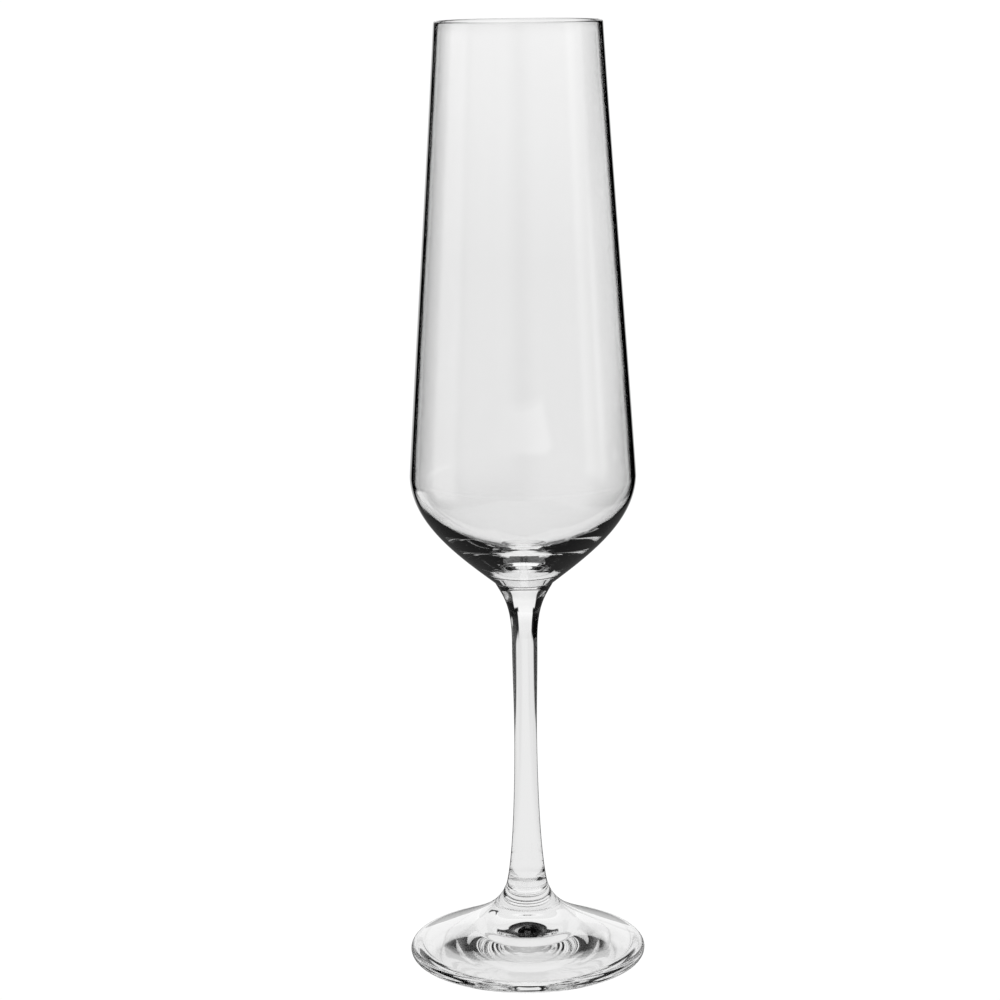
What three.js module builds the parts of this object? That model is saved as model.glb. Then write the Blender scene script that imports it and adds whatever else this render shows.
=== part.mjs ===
// Champagne flute in clear glass, in millimetres, +Z up.
// The origin is on the axis, in the plane that the foot stands on.
// Three gathers of glass are fused end to end: the bowl, the stem and the foot.
// Each is one solid of revolution, and they meet at two flat fused joints.

import * as THREE from "three";

// Driving dimensions
const HEIGHT = 240;
const MOUTH_RADIUS = 20.8;
const SHOULDER_RADIUS = 28.6;
const SHOULDER_HEIGHT = 127.2;
const SEAT_RADIUS = 7.45;
const SEAT_HEIGHT = 99.3;
const STEM_RADIUS = 2.92;
const WAIST_HEIGHT = 60;
const FOOT_JOINT_RADIUS = 5.27;
const FOOT_JOINT_HEIGHT = 18.8;
const FOOT_RADIUS = 30.5;
const FOOT_EDGE = 2.6;

// Glass thickness
const RIM_WALL = 1.1;
const SHOULDER_WALL = 1.3;
const BOWL_FLOOR_HEIGHT = 105.3;
const BOWL_FLOOR_CROWN = 0.35;

// Underside of the foot: a narrow flat resting ring with a shallow lip inside it,
// then a cone that steepens at a step round a domed middle
const RING_INNER_RADIUS = 27.2;
const LIP_RADIUS = 25.2;
const LIP_HEIGHT = 0.2;
const STEP_RADIUS = 12;
const STEP_HEIGHT = 3.13;
const DOME_RADIUS = 7.2;
const DOME_EDGE_HEIGHT = 4.5;
const HOLLOW_DEPTH = 5.7;

// Facets round the axis
const SEGMENTS = 64;

const point = (radius, height) => new THREE.Vector2(radius, height);

// A cubic curve from one point to another, pulled by a handle at each end.
function curve(from, fromHandle, toHandle, to, steps) {
  return new THREE.CubicBezierCurve(from, fromHandle, toHandle, to).getPoints(steps);
}

// A round edge about a centre, from one angle to another, in degrees.
function roundEdge(centre, radius, fromAngle, toAngle, steps) {
  const from = THREE.MathUtils.degToRad(fromAngle);
  const to = THREE.MathUtils.degToRad(toAngle);
  const clockwise = to < from;
  const arc = new THREE.EllipseCurve(centre.x, centre.y, radius, radius, from, to, clockwise);
  return arc.getPoints(steps);
}

// Stretches that share an end point are joined without doubling it.
function joined(...stretches) {
  const outline = [];
  for (const end of stretches.flat()) {
    const last = outline.at(-1);
    if (!last || last.distanceTo(end) > 1e-6) {
      outline.push(end);
    }
  }
  return outline;
}

// Glass turned round the Z axis from an outline of radius and height.
function turnedGlass(name, outline, tint) {
  const geometry = new THREE.LatheGeometry(outline, SEGMENTS);
  geometry.rotateX(Math.PI / 2);
  const material = new THREE.MeshStandardMaterial({
    color: tint,
    roughness: 0.04,
    metalness: 0,
    transparent: true,
    opacity: 0.35,
  });
  const mesh = new THREE.Mesh(geometry, material);
  mesh.name = name;
  return mesh;
}

// The bowl: a thick floor over the stem, a rounded shoulder low down,
// a wall that narrows towards the mouth, and a fire-polished rim.
function bowl() {
  const rimRadius = RIM_WALL / 2;
  const rimCentre = point(MOUTH_RADIUS - rimRadius, HEIGHT - rimRadius);
  const underside = curve(
    point(SEAT_RADIUS, SEAT_HEIGHT),
    point(SEAT_RADIUS + 10.2, SEAT_HEIGHT + 8.1),
    point(SHOULDER_RADIUS, SHOULDER_HEIGHT - 11.1),
    point(SHOULDER_RADIUS, SHOULDER_HEIGHT),
    10,
  );
  const outerWall = curve(
    point(SHOULDER_RADIUS, SHOULDER_HEIGHT),
    point(SHOULDER_RADIUS - 2.1, SHOULDER_HEIGHT + 32.8),
    point(MOUTH_RADIUS + 2.5, HEIGHT - 40),
    point(MOUTH_RADIUS, rimCentre.y),
    8,
  );
  const innerShoulder = point(SHOULDER_RADIUS - SHOULDER_WALL, SHOULDER_HEIGHT - 0.4);
  const innerWall = curve(
    point(MOUTH_RADIUS - RIM_WALL, rimCentre.y),
    point(MOUTH_RADIUS + 2.5 - RIM_WALL, HEIGHT - 40),
    point(innerShoulder.x - 1.9, innerShoulder.y + 32.8),
    innerShoulder,
    8,
  );
  const innerFloor = curve(
    innerShoulder,
    point(innerShoulder.x, innerShoulder.y - 11.8),
    point(10, BOWL_FLOOR_HEIGHT - BOWL_FLOOR_CROWN),
    point(0, BOWL_FLOOR_HEIGHT),
    9,
  );
  const outline = joined(
    [point(0, SEAT_HEIGHT)],
    underside,
    outerWall,
    roundEdge(rimCentre, rimRadius, 0, 180, 4),
    innerWall,
    innerFloor,
  );
  return turnedGlass("bowl", outline, 0xf4f7f7);
}

// The stem: a drawn rod with a narrow waist, flaring into the bowl above and the foot below.
function stem() {
  const upperFlareHeight = SEAT_HEIGHT - 16;
  const upperFlareRadius = STEM_RADIUS + 0.33;
  const lowerFlare = curve(
    point(FOOT_JOINT_RADIUS, FOOT_JOINT_HEIGHT),
    point(FOOT_JOINT_RADIUS - 1.76, FOOT_JOINT_HEIGHT + 7.8),
    point(STEM_RADIUS, WAIST_HEIGHT - 14),
    point(STEM_RADIUS, WAIST_HEIGHT),
    8,
  );
  const shank = curve(
    point(STEM_RADIUS, WAIST_HEIGHT),
    point(STEM_RADIUS, WAIST_HEIGHT + 8),
    point(upperFlareRadius, upperFlareHeight - 8),
    point(upperFlareRadius, upperFlareHeight),
    3,
  );
  const upperFlare = curve(
    point(upperFlareRadius, upperFlareHeight),
    point(upperFlareRadius, upperFlareHeight + 10.4),
    point(SEAT_RADIUS - 1.67, SEAT_HEIGHT - 3.2),
    point(SEAT_RADIUS, SEAT_HEIGHT),
    8,
  );
  const outline = joined(
    [point(0, FOOT_JOINT_HEIGHT)],
    lowerFlare,
    shank,
    upperFlare,
    [point(0, SEAT_HEIGHT)],
  );
  return turnedGlass("stem", outline, 0xf4f7f7);
}

// The foot: a thin disc with a round edge, its top sweeping up to the stem,
// and a narrow resting ring round a stepped conical hollow underneath.
function foot() {
  const edgeRadius = FOOT_EDGE / 2;
  const edgeCentre = point(FOOT_RADIUS - edgeRadius, edgeRadius);
  const domeEdge = point(DOME_RADIUS, DOME_EDGE_HEIGHT);
  const stepFoot = point(STEP_RADIUS, STEP_HEIGHT);
  const lip = point(LIP_RADIUS, LIP_HEIGHT);
  const dome = curve(
    point(0, HOLLOW_DEPTH),
    point(DOME_RADIUS / 3, HOLLOW_DEPTH),
    point(DOME_RADIUS * 2 / 3, DOME_EDGE_HEIGHT + 0.26),
    domeEdge,
    4,
  );
  const step = curve(
    domeEdge,
    point(DOME_RADIUS + 2.2, DOME_EDGE_HEIGHT - 0.11),
    point(STEP_RADIUS - 1.3, STEP_HEIGHT + 0.27),
    stepFoot,
    3,
  );
  const cone = curve(
    stepFoot,
    point(STEP_RADIUS + 2.8, STEP_HEIGHT - 0.6),
    point(LIP_RADIUS - 4.2, LIP_HEIGHT + 1.18),
    lip,
    4,
  );
  const topSweep = curve(
    point(edgeCentre.x, FOOT_EDGE),
    point(edgeCentre.x - 17.4, FOOT_EDGE + 7.7),
    point(FOOT_JOINT_RADIUS + 2.15, FOOT_JOINT_HEIGHT - 6.5),
    point(FOOT_JOINT_RADIUS, FOOT_JOINT_HEIGHT),
    12,
  );
  const outline = joined(
    dome,
    step,
    cone,
    [point(RING_INNER_RADIUS, 0), point(edgeCentre.x, 0)],
    roundEdge(edgeCentre, edgeRadius, -90, 90, 6),
    topSweep,
    [point(0, FOOT_JOINT_HEIGHT)],
  );
  return turnedGlass("foot", outline, 0xf4f7f7);
}

const flute = new THREE.Group();
flute.name = "champagne_flute";
flute.add(bowl(), stem(), foot());

export default flute;
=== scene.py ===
"""A clear champagne flute on a white table strip, in a dark studio with soft white panels of light.

Metres, +Z up, in the frame of the CAD part. The three CAD nodes are each replaced by a fine
surface of revolution: the bowl, the stem and the foot, fused at two flat joints.
"""

import math

import bmesh
import bpy
from mathutils import Euler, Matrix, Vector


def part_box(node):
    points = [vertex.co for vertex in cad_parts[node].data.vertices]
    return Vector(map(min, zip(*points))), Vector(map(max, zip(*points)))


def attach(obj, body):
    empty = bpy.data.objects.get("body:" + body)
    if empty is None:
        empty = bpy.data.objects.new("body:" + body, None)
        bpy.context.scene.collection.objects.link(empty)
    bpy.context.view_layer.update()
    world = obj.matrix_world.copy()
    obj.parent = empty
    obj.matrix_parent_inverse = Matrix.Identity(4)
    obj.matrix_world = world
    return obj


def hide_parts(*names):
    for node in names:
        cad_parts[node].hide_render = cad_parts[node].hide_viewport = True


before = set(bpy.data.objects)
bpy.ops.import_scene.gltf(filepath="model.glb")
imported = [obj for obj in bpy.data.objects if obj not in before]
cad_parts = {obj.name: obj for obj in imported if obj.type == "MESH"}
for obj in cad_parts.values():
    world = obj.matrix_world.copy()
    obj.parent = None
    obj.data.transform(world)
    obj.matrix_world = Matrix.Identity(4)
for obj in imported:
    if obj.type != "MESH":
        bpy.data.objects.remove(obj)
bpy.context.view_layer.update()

MM = 0.001

# ---------------------------------------------------------------- dimensions, from the frame
bowl_low, bowl_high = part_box("bowl")
stem_low, stem_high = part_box("stem")
foot_low, foot_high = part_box("foot")

HEIGHT = bowl_high.z
SHOULDER_RADIUS = bowl_high.x
SEAT_HEIGHT = bowl_low.z
SEAT_RADIUS = stem_high.x
FOOT_JOINT_HEIGHT = stem_low.z
FOOT_RADIUS = foot_high.x

# ---------------------------------------------------------------- dimensions of the glass
MOUTH_RADIUS = 20.8 * MM
SHOULDER_HEIGHT = 127.2 * MM
RIM_WALL = 1.1 * MM
SHOULDER_WALL = 1.3 * MM
INNER_SHOULDER_DROP = 0.4 * MM
BOWL_FLOOR_HEIGHT = 105.3 * MM
BOWL_FLOOR_CROWN = 0.35 * MM
STEM_RADIUS = 2.92 * MM
WAIST_HEIGHT = 60 * MM
UPPER_FLARE_RADIUS = STEM_RADIUS + 0.33 * MM
UPPER_FLARE_HEIGHT = SEAT_HEIGHT - 16 * MM
FOOT_JOINT_RADIUS = 5.27 * MM
FOOT_EDGE = 2.6 * MM
RING_INNER_RADIUS = 27.2 * MM
HOLLOW_DEPTH = 5.7 * MM
DOME_RADIUS = 7.2 * MM
DOME_EDGE_HEIGHT = 4.5 * MM
STEP_RADIUS = 12 * MM
STEP_HEIGHT = 3.13 * MM
LIP_RADIUS = 25.2 * MM
LIP_HEIGHT = 0.2 * MM

# How far the handles of the bowl's wall reach along it, and lean from upright, at either end
SHOULDER_REACH = 32.8 * MM
OUTER_SHOULDER_LEAN = 2.1 * MM
INNER_SHOULDER_LEAN = 1.9 * MM
MOUTH_REACH = 40 * MM
MOUTH_LEAN = 2.5 * MM

# Ends closer than this are one point, and a radius smaller than this is on the axis
SAME_POINT = 0.00001 * MM
ON_AXIS = 0.0001 * MM

# Points round the axis, and steps along the outside of the bowl
SIDES = 256
UNDERSIDE_STEPS = 60
WALL_STEPS = 50


# ---------------------------------------------------------------- outlines
def curve(start, start_handle, end_handle, end, steps):
    """Points along a cubic curve, both ends included."""
    points = []
    for i in range(steps + 1):
        t = i / steps
        s = 1 - t
        weights = (s * s * s, 3 * s * s * t, 3 * s * t * t, t * t * t)
        corners = (start, start_handle, end_handle, end)
        radius = sum(w * c[0] for w, c in zip(weights, corners))
        height = sum(w * c[1] for w, c in zip(weights, corners))
        points.append((radius, height))
    return points


def round_edge(centre, radius, start, end, steps):
    """Points along an arc about a centre, with the angles in degrees."""
    points = []
    for i in range(steps + 1):
        angle = math.radians(start + (end - start) * i / steps)
        points.append((centre[0] + radius * math.cos(angle), centre[1] + radius * math.sin(angle)))
    return points


def joined(*stretches):
    """One outline out of stretches that share their end points."""
    outline = []
    for stretch in stretches:
        for p in stretch:
            if not outline or math.dist(p, outline[-1]) > SAME_POINT:
                outline.append(p)
    return outline


def bowl_outline():
    """From the seat on the stem up the outside, over the rim, and down the inside to the axis."""
    rim_radius = RIM_WALL / 2
    rim_centre = (MOUTH_RADIUS - rim_radius, HEIGHT - rim_radius)
    underside = curve(
        (SEAT_RADIUS, SEAT_HEIGHT),
        (SEAT_RADIUS + 10.2 * MM, SEAT_HEIGHT + 8.1 * MM),
        (SHOULDER_RADIUS, SHOULDER_HEIGHT - 11.1 * MM),
        (SHOULDER_RADIUS, SHOULDER_HEIGHT),
        UNDERSIDE_STEPS,
    )
    outer_wall = curve(
        (SHOULDER_RADIUS, SHOULDER_HEIGHT),
        (SHOULDER_RADIUS - OUTER_SHOULDER_LEAN, SHOULDER_HEIGHT + SHOULDER_REACH),
        (MOUTH_RADIUS + MOUTH_LEAN, HEIGHT - MOUTH_REACH),
        (MOUTH_RADIUS, rim_centre[1]),
        WALL_STEPS,
    )
    inner_shoulder = (SHOULDER_RADIUS - SHOULDER_WALL, SHOULDER_HEIGHT - INNER_SHOULDER_DROP)
    inner_wall = curve(
        (MOUTH_RADIUS - RIM_WALL, rim_centre[1]),
        (MOUTH_RADIUS + MOUTH_LEAN - RIM_WALL, HEIGHT - MOUTH_REACH),
        (inner_shoulder[0] - INNER_SHOULDER_LEAN, inner_shoulder[1] + SHOULDER_REACH),
        inner_shoulder,
        WALL_STEPS,
    )
    inner_floor = curve(
        inner_shoulder,
        (inner_shoulder[0], inner_shoulder[1] - 11.8 * MM),
        (10 * MM, BOWL_FLOOR_HEIGHT - BOWL_FLOOR_CROWN),
        (0, BOWL_FLOOR_HEIGHT),
        60,
    )
    rim = round_edge(rim_centre, rim_radius, 0, 180, 16)
    return joined(underside, outer_wall, rim, inner_wall, inner_floor)


def stem_outline():
    """From the foot up to the bowl, narrowest at the waist."""
    lower_flare = curve(
        (FOOT_JOINT_RADIUS, FOOT_JOINT_HEIGHT),
        (FOOT_JOINT_RADIUS - 1.76 * MM, FOOT_JOINT_HEIGHT + 7.8 * MM),
        (STEM_RADIUS, WAIST_HEIGHT - 14 * MM),
        (STEM_RADIUS, WAIST_HEIGHT),
        60,
    )
    shank = curve(
        (STEM_RADIUS, WAIST_HEIGHT),
        (STEM_RADIUS, WAIST_HEIGHT + 8 * MM),
        (UPPER_FLARE_RADIUS, UPPER_FLARE_HEIGHT - 8 * MM),
        (UPPER_FLARE_RADIUS, UPPER_FLARE_HEIGHT),
        30,
    )
    upper_flare = curve(
        (UPPER_FLARE_RADIUS, UPPER_FLARE_HEIGHT),
        (UPPER_FLARE_RADIUS, UPPER_FLARE_HEIGHT + 10.4 * MM),
        (SEAT_RADIUS - 1.67 * MM, SEAT_HEIGHT - 3.2 * MM),
        (SEAT_RADIUS, SEAT_HEIGHT),
        50,
    )
    return joined(lower_flare, shank, upper_flare)


def foot_outline():
    """From the axis out along the underside, round the edge, and up the top to the stem."""
    edge_radius = FOOT_EDGE / 2
    edge_centre = (FOOT_RADIUS - edge_radius, edge_radius)
    dome = curve(
        (0, HOLLOW_DEPTH),
        (DOME_RADIUS / 3, HOLLOW_DEPTH),
        (DOME_RADIUS * 2 / 3, DOME_EDGE_HEIGHT + 0.26 * MM),
        (DOME_RADIUS, DOME_EDGE_HEIGHT),
        16,
    )
    step = curve(
        (DOME_RADIUS, DOME_EDGE_HEIGHT),
        (DOME_RADIUS + 2.2 * MM, DOME_EDGE_HEIGHT - 0.11 * MM),
        (STEP_RADIUS - 1.3 * MM, STEP_HEIGHT + 0.27 * MM),
        (STEP_RADIUS, STEP_HEIGHT),
        16,
    )
    cone = curve(
        (STEP_RADIUS, STEP_HEIGHT),
        (STEP_RADIUS + 2.8 * MM, STEP_HEIGHT - 0.6 * MM),
        (LIP_RADIUS - 4.2 * MM, LIP_HEIGHT + 1.18 * MM),
        (LIP_RADIUS, LIP_HEIGHT),
        48,
    )
    lip = curve(
        (LIP_RADIUS, LIP_HEIGHT),
        (LIP_RADIUS + 0.7 * MM, 0.01 * MM),
        (RING_INNER_RADIUS - 0.7 * MM, 0),
        (RING_INNER_RADIUS, 0),
        8,
    )
    top_sweep = curve(
        (edge_centre[0], FOOT_EDGE),
        (edge_centre[0] - 17.4 * MM, FOOT_EDGE + 7.7 * MM),
        (FOOT_JOINT_RADIUS + 2.15 * MM, FOOT_JOINT_HEIGHT - 6.5 * MM),
        (FOOT_JOINT_RADIUS, FOOT_JOINT_HEIGHT),
        90,
    )
    resting_ring = [(RING_INNER_RADIUS, 0), (edge_centre[0], 0)]
    edge = round_edge(edge_centre, edge_radius, -90, 90, 24)
    return joined(dome, step, cone, lip, resting_ring, edge, top_sweep)


# ---------------------------------------------------------------- surfaces of revolution
# A piece's first material is its glass, the second the fused joint, the third the bowl's inside
JOINT_SLOT = 1
INSIDE_SLOT = 2


def ring_of_points(mesh, radius, height):
    """One ring of the surface, or a single point on the axis."""
    if radius < ON_AXIS:
        return [mesh.verts.new((0, 0, height))]
    ring = []
    for k in range(SIDES):
        angle = 2 * math.pi * k / SIDES
        ring.append(mesh.verts.new((radius * math.cos(angle), radius * math.sin(angle), height)))
    return ring


def turned(name, outline, joint_ends, materials, inside_from=None):
    """Turns an outline round Z.

    An end of the outline at a fused joint is closed with a flat disc of the joint's material.
    The bowl's inside has a glass of its own, from one ring of the outline onwards.
    """
    mesh = bmesh.new()
    rings = [ring_of_points(mesh, radius, height) for radius, height in outline]
    for i, (low, high) in enumerate(zip(rings, rings[1:])):
        for k in range(SIDES):
            n = (k + 1) % SIDES
            corners = [low[k % len(low)], low[n % len(low)], high[n % len(high)], high[k % len(high)]]
            corners = [c for j, c in enumerate(corners) if c not in corners[:j]]
            face = mesh.faces.new(corners)
            face.smooth = True
            if inside_from is not None and i >= inside_from:
                face.material_index = INSIDE_SLOT
    for end in joint_ends:
        disc = mesh.faces.new(rings[end] if end else list(reversed(rings[end])))
        disc.material_index = JOINT_SLOT
    bmesh.ops.recalc_face_normals(mesh, faces=mesh.faces)
    return placed(name, mesh, materials)


def placed(name, mesh, materials):
    """Puts a finished mesh in the scene with its materials."""
    data = bpy.data.meshes.new(name)
    mesh.to_mesh(data)
    mesh.free()
    for material in materials:
        data.materials.append(material)
    piece = bpy.data.objects.new(name, data)
    bpy.context.scene.collection.objects.link(piece)
    return piece


# ---------------------------------------------------------------- node helpers
def new_material(name):
    material = bpy.data.materials.new(name)
    material.use_nodes = True
    material.node_tree.nodes.clear()
    return material, material.node_tree


def maths(tree, operation, *values):
    """A math node fed with numbers and other nodes' outputs."""
    node = tree.nodes.new("ShaderNodeMath")
    node.operation = operation
    for socket, value in zip(node.inputs, values):
        if isinstance(value, (int, float)):
            socket.default_value = value
        else:
            tree.links.new(value, socket)
    return node.outputs["Value"]


def ramp(tree, value, start, end, at_start=0, at_end=1, smooth=True):
    """Goes from one number to another while a value goes from start to end."""
    node = tree.nodes.new("ShaderNodeMapRange")
    if smooth:
        node.interpolation_type = "SMOOTHSTEP"
    node.inputs["From Min"].default_value = start
    node.inputs["From Max"].default_value = end
    node.inputs["To Min"].default_value = at_start
    node.inputs["To Max"].default_value = at_end
    tree.links.new(value, node.inputs["Value"])
    return node.outputs["Result"]


def noise(tree, place, scale, detail):
    """Noise that stays with the object as it moves."""
    node = tree.nodes.new("ShaderNodeTexNoise")
    node.inputs["Scale"].default_value = scale
    node.inputs["Detail"].default_value = detail
    tree.links.new(place.outputs["Object"], node.inputs["Vector"])
    return node.outputs["Fac"]


# ---------------------------------------------------------------- materials
REFRACTION_INDEX = 1.51
# Painted shade at the glass's edges: its colour goes black as the surface turns between these angles
# away from facing
EDGE_SHADE_ANGLE_START = 71
EDGE_SHADE_ANGLE_END = 76
THIN_TINT = (0.984, 0.984, 0.984, 1)
CLEAR_TINT = (0.993, 0.993, 0.993, 1)
# The black of the painted edge shade
EDGE_SHADE_COLOUR = (0.0, 0.0, 0.0, 1)
TINT_NOISE_SCALE = 60
WAVE_NOISE_SCALE = 90
WAVE_DEPTH = 0.04 * MM


def uneven_tint_and_edge_shade(tree, place, with_painted_edge_shade):
    """A faint uneven tint, and, if asked for, painted shade: the colour goes black where the surface
    turns away.
    """
    body = tree.nodes.new("ShaderNodeValToRGB")
    body.color_ramp.elements[0].color = THIN_TINT
    body.color_ramp.elements[1].color = CLEAR_TINT
    tree.links.new(noise(tree, place, TINT_NOISE_SCALE, 2), body.inputs["Fac"])
    if not with_painted_edge_shade:
        return body.outputs["Color"]
    # Painted shade: the colour is mixed to black where the surface turns away from the viewer
    facing = tree.nodes.new("ShaderNodeLayerWeight")
    facing.inputs["Blend"].default_value = 0.5
    start = 1 - math.cos(math.radians(EDGE_SHADE_ANGLE_START))
    end = 1 - math.cos(math.radians(EDGE_SHADE_ANGLE_END))
    tint = tree.nodes.new("ShaderNodeMix")
    tint.data_type = "RGBA"
    factor, colour, painted_shade_colour = tint.inputs[0], tint.inputs[6], tint.inputs[7]
    painted_shade_colour.default_value = EDGE_SHADE_COLOUR
    tree.links.new(ramp(tree, facing.outputs["Facing"], start, end), factor)
    tree.links.new(body.outputs["Color"], colour)
    return tint.outputs[2]


def clear_glass(name, with_painted_edge_shade, wave_depth):
    """Clear glass with the faint waves of hand work, and, if asked for, painted shade that blackens
    its colour where the surface turns steeply away, for the dark edges of thick or steep glass.
    """
    material, tree = new_material(name)
    output = tree.nodes.new("ShaderNodeOutputMaterial")
    shader = tree.nodes.new("ShaderNodeBsdfPrincipled")
    shader.inputs["Roughness"].default_value = 0
    shader.inputs["IOR"].default_value = REFRACTION_INDEX
    shader.inputs["Transmission Weight"].default_value = 1
    place = tree.nodes.new("ShaderNodeTexCoord")
    tree.links.new(uneven_tint_and_edge_shade(tree, place, with_painted_edge_shade), shader.inputs["Base Color"])
    waves = tree.nodes.new("ShaderNodeBump")
    waves.inputs["Distance"].default_value = wave_depth
    tree.links.new(noise(tree, place, WAVE_NOISE_SCALE, 1), waves.inputs["Height"])
    tree.links.new(waves.outputs["Normal"], shader.inputs["Normal"])
    tree.links.new(shader.outputs["BSDF"], output.inputs["Surface"])
    return material


def fused_joint():
    """Where two gathers are fused there is no surface: light goes straight through."""
    material, tree = new_material("fused_joint")
    output = tree.nodes.new("ShaderNodeOutputMaterial")
    shader = tree.nodes.new("ShaderNodeBsdfTransparent")
    tree.links.new(shader.outputs["BSDF"], output.inputs["Surface"])
    return material


# ---------------------------------------------------------------- studio
BACKDROP_BRIGHTNESS = 1.03
ROOM_BRIGHTNESS = 0.002

# The white table is a long strip along Y, brightest along its middle, and its light is dimmed
# in mirror reflections.
TABLE_HALF_WIDTH = 172 * MM
TABLE_FRONT = -400 * MM
TABLE_BACK = 520 * MM
TABLE_EDGE_FADE = 18 * MM
TABLE_BACK_FADE = 250 * MM
TABLE_GAP = 0.1 * MM
TABLE_MIDDLE_BRIGHTNESS = 0.87
TABLE_SIDE_BRIGHTNESS = 0.8
TABLE_REFLECTED_SHARE = 0.15
TABLE_MIDDLE_HALF_WIDTH = 30 * MM
TABLE_SIDE_FROM = 75 * MM

# Each panel of light: direction and half width round the table, its lowest and highest
# elevation, its brightness at each, and the width of its soft edge, all angles in degrees.
# Direction 0 is along +Y and 90 along -X.
PANELS = (
    (2, 20, -40, 0, 0.8, 0.93, 3),
    (2, 20, -8, 2, 0.88, 1.1, 3),
    (3, 18, 0, 10, 1.02, 0.98, 3),
    (0, 26, 7, 48, 0.98, 0.86, 3),
    (45, 14, -60, -16, 0.8, 0.9, 2),
    (90, 16, -24, 14, 0.8, 0.8, 12),
    (222, 34, -60, 36, 0.82, 0.4, 25),
    (290, 24, -6, 0, 0.5, 0.5, 3),
)


def white_for_camera(tree, light):
    """Plain white where the camera looks straight at it, and its own light for everything else."""
    path = tree.nodes.new("ShaderNodeLightPath")
    backdrop = maths(tree, "MULTIPLY", path.outputs["Is Camera Ray"], BACKDROP_BRIGHTNESS)
    return maths(tree, "MAXIMUM", backdrop, light)


def white_table():
    """The table's own light, fading to nothing at its long edges and its back."""
    material, tree = new_material("white_table")
    output = tree.nodes.new("ShaderNodeOutputMaterial")
    place = tree.nodes.new("ShaderNodeTexCoord")
    split = tree.nodes.new("ShaderNodeSeparateXYZ")
    tree.links.new(place.outputs["Object"], split.inputs["Vector"])
    off_middle = maths(tree, "ABSOLUTE", split.outputs["X"])
    lit = ramp(
        tree,
        off_middle,
        TABLE_MIDDLE_HALF_WIDTH,
        TABLE_SIDE_FROM,
        TABLE_MIDDLE_BRIGHTNESS,
        TABLE_SIDE_BRIGHTNESS,
    )
    path = tree.nodes.new("ShaderNodeLightPath")
    lost = maths(tree, "MULTIPLY", path.outputs["Is Reflection Ray"], 1 - TABLE_REFLECTED_SHARE)
    light = maths(tree, "MULTIPLY", lit, maths(tree, "SUBTRACT", 1, lost))
    emission = tree.nodes.new("ShaderNodeEmission")
    emission.inputs["Color"].default_value = (1, 1, 1, 1)
    tree.links.new(white_for_camera(tree, light), emission.inputs["Strength"])
    fade_from = TABLE_HALF_WIDTH - TABLE_EDGE_FADE
    fade_to = TABLE_HALF_WIDTH + TABLE_EDGE_FADE
    side_fade = ramp(tree, off_middle, fade_from, fade_to)
    back_fade = ramp(tree, split.outputs["Y"], TABLE_BACK - TABLE_BACK_FADE, TABLE_BACK)
    clear = tree.nodes.new("ShaderNodeBsdfTransparent")
    blend = tree.nodes.new("ShaderNodeMixShader")
    tree.links.new(maths(tree, "MAXIMUM", side_fade, back_fade), blend.inputs["Fac"])
    tree.links.new(emission.outputs["Emission"], blend.inputs[1])
    tree.links.new(clear.outputs["BSDF"], blend.inputs[2])
    tree.links.new(blend.outputs["Shader"], output.inputs["Surface"])
    return material


def table():
    """The strip that the flute stands on, a hair below the resting ring."""
    mesh = bmesh.new()
    half_width = TABLE_HALF_WIDTH + TABLE_EDGE_FADE
    corners = []
    for side, y in ((-1, TABLE_FRONT), (1, TABLE_FRONT), (1, TABLE_BACK), (-1, TABLE_BACK)):
        corners.append(mesh.verts.new((side * half_width, y, -TABLE_GAP)))
    mesh.faces.new(corners)
    return placed("table_top", mesh, (white_table(),))


def soft_step(tree, value, edge, softness, rising):
    """Goes from 0 to 1 across an edge, rising or falling with the value."""
    half = softness / 2 if rising else -softness / 2
    return ramp(tree, value, edge - half, edge + half)


def panel(tree, azimuth, elevation, shape):
    """One panel of light on the dark walls of the room."""
    direction, half_width, low, high, low_brightness, high_brightness, softness = shape
    turned_to = maths(tree, "WRAP", maths(tree, "SUBTRACT", azimuth, direction), 180, -180)
    across = soft_step(tree, maths(tree, "ABSOLUTE", turned_to), half_width, softness, False)
    above = soft_step(tree, elevation, low, softness, True)
    below = soft_step(tree, elevation, high, softness, False)
    share = maths(tree, "MULTIPLY", across, maths(tree, "MULTIPLY", above, below))
    gradient = ramp(tree, elevation, low, high, low_brightness, high_brightness, smooth=False)
    return maths(tree, "MULTIPLY", share, gradient)


def studio():
    """A white backdrop for the camera, and panels of light round a dark room for the glass."""
    world = bpy.data.worlds.new("studio")
    bpy.context.scene.world = world
    world.use_nodes = True
    tree = world.node_tree
    tree.nodes.clear()
    output = tree.nodes.new("ShaderNodeOutputWorld")
    background = tree.nodes.new("ShaderNodeBackground")
    background.inputs["Color"].default_value = (1, 1, 1, 1)
    tree.links.new(background.outputs["Background"], output.inputs["Surface"])
    coordinates = tree.nodes.new("ShaderNodeTexCoord")
    split = tree.nodes.new("ShaderNodeSeparateXYZ")
    tree.links.new(coordinates.outputs["Generated"], split.inputs["Vector"])
    towards_left = maths(tree, "MULTIPLY", split.outputs["X"], -1)
    azimuth = maths(tree, "DEGREES", maths(tree, "ARCTAN2", towards_left, split.outputs["Y"]))
    elevation = maths(tree, "DEGREES", maths(tree, "ARCSINE", split.outputs["Z"]))
    light = ROOM_BRIGHTNESS
    for shape in PANELS:
        light = maths(tree, "MAXIMUM", panel(tree, azimuth, elevation, shape), light)
    tree.links.new(white_for_camera(tree, light), background.inputs["Strength"])


# ---------------------------------------------------------------- camera
CAMERA_DISTANCE = 0.658
CAMERA_HEIGHT = 0.2568
CAMERA_ASIDE = -0.00586
CAMERA_PITCH = 11.70
CAMERA_ROLL = -0.712
SENSOR_WIDTH = 36
FOCAL_IN_FRAMES = 2.656


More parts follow.
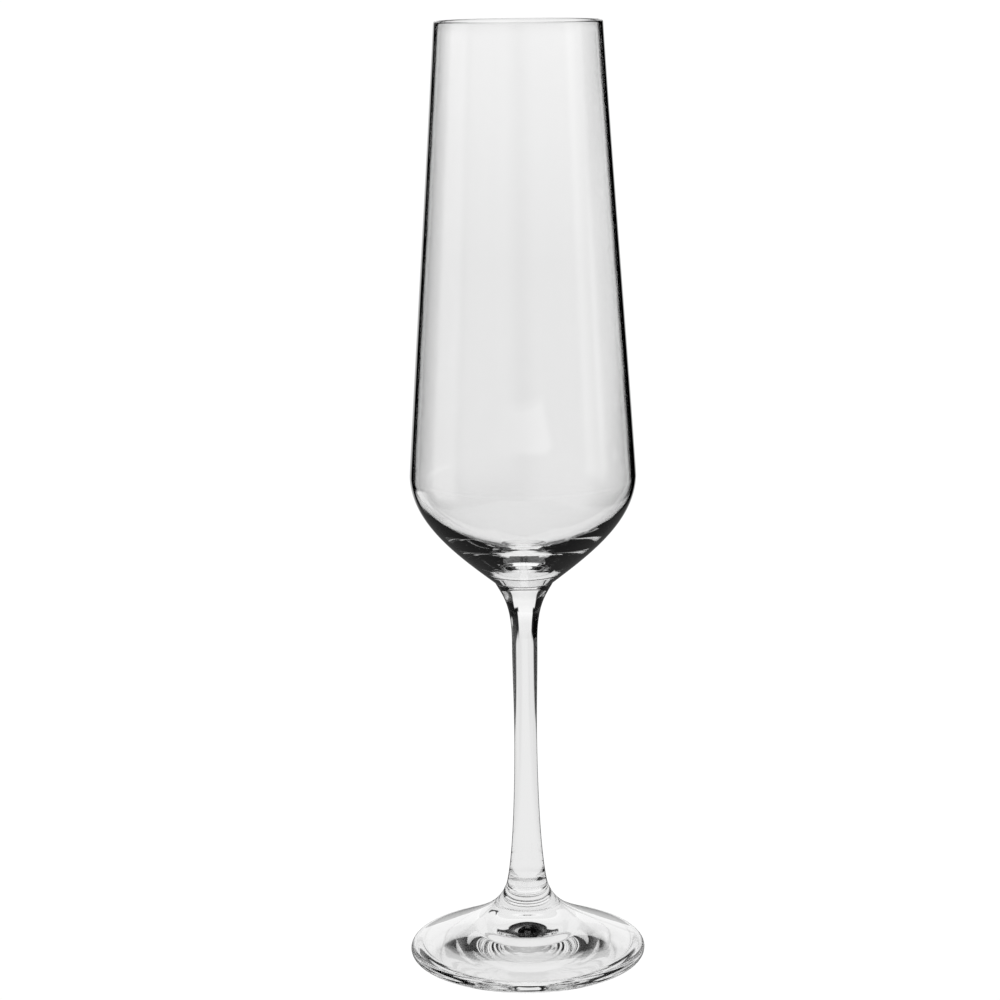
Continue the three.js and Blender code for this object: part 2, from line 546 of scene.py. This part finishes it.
def camera():
    """Looks slightly down along +Y, from beside the axis, with a slight roll."""
    data = bpy.data.cameras.new("camera")
    data.sensor_width = SENSOR_WIDTH
    data.lens = FOCAL_IN_FRAMES * SENSOR_WIDTH
    eye = bpy.data.objects.new("camera", data)
    bpy.context.scene.collection.objects.link(eye)
    eye.location = (CAMERA_ASIDE, -CAMERA_DISTANCE, CAMERA_HEIGHT)
    eye.rotation_mode = "XYZ"
    look = Euler((math.radians(90 - CAMERA_PITCH), 0, 0)).to_matrix()
    roll = Euler((0, 0, math.radians(CAMERA_ROLL))).to_matrix()
    eye.rotation_euler = (look @ roll).to_euler()
    bpy.context.scene.camera = eye


def settings():
    """Enough bounces for light to get through both walls of the bowl and out of the foot."""
    scene = bpy.context.scene
    scene.view_settings.view_transform = "Standard"
    scene.view_settings.look = "None"
    scene.cycles.max_bounces = 24
    scene.cycles.transmission_bounces = 24
    scene.cycles.glossy_bounces = 12
    scene.cycles.transparent_max_bounces = 16
    scene.cycles.use_denoising = True
    scene.cycles.caustics_reflective = True
    scene.cycles.caustics_refractive = True
    scene.cycles.blur_glossy = 0


# ---------------------------------------------------------------- assembly
def bowl(joint):
    """Only the outside of the bowl gets the painted edge shade, black where its surface turns away,
    up to the first ring of the rim.
    """
    outside = clear_glass("bowl_glass", True, WAVE_DEPTH)
    inside = clear_glass("bowl_inside", False, WAVE_DEPTH)
    first_rim_ring = UNDERSIDE_STEPS + WALL_STEPS + 1
    return turned("flute_bowl", bowl_outline(), (0,), (outside, joint, inside), first_rim_ring)


def stem(joint):
    """The drawn stem is smoother than the bowl and the foot."""
    # The stem gets the painted edge shade: its colour goes black where the surface turns away
    glass = clear_glass("stem_glass", True, WAVE_DEPTH / 4)
    return turned("flute_stem", stem_outline(), (0, -1), (glass, joint))


def foot(joint):
    """The foot gets no painted edge shade: its glass is thin, and bright right up to its outline."""
    glass = clear_glass("foot_glass", False, WAVE_DEPTH)
    return turned("flute_foot", foot_outline(), (-1,), (glass, joint))


joint_glass = fused_joint()
for make, node in ((bowl, "bowl"), (stem, "stem"), (foot, "foot")):
    piece = make(joint_glass)
    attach(piece, "root")
    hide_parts(node)

table()
studio()
camera()
settings()
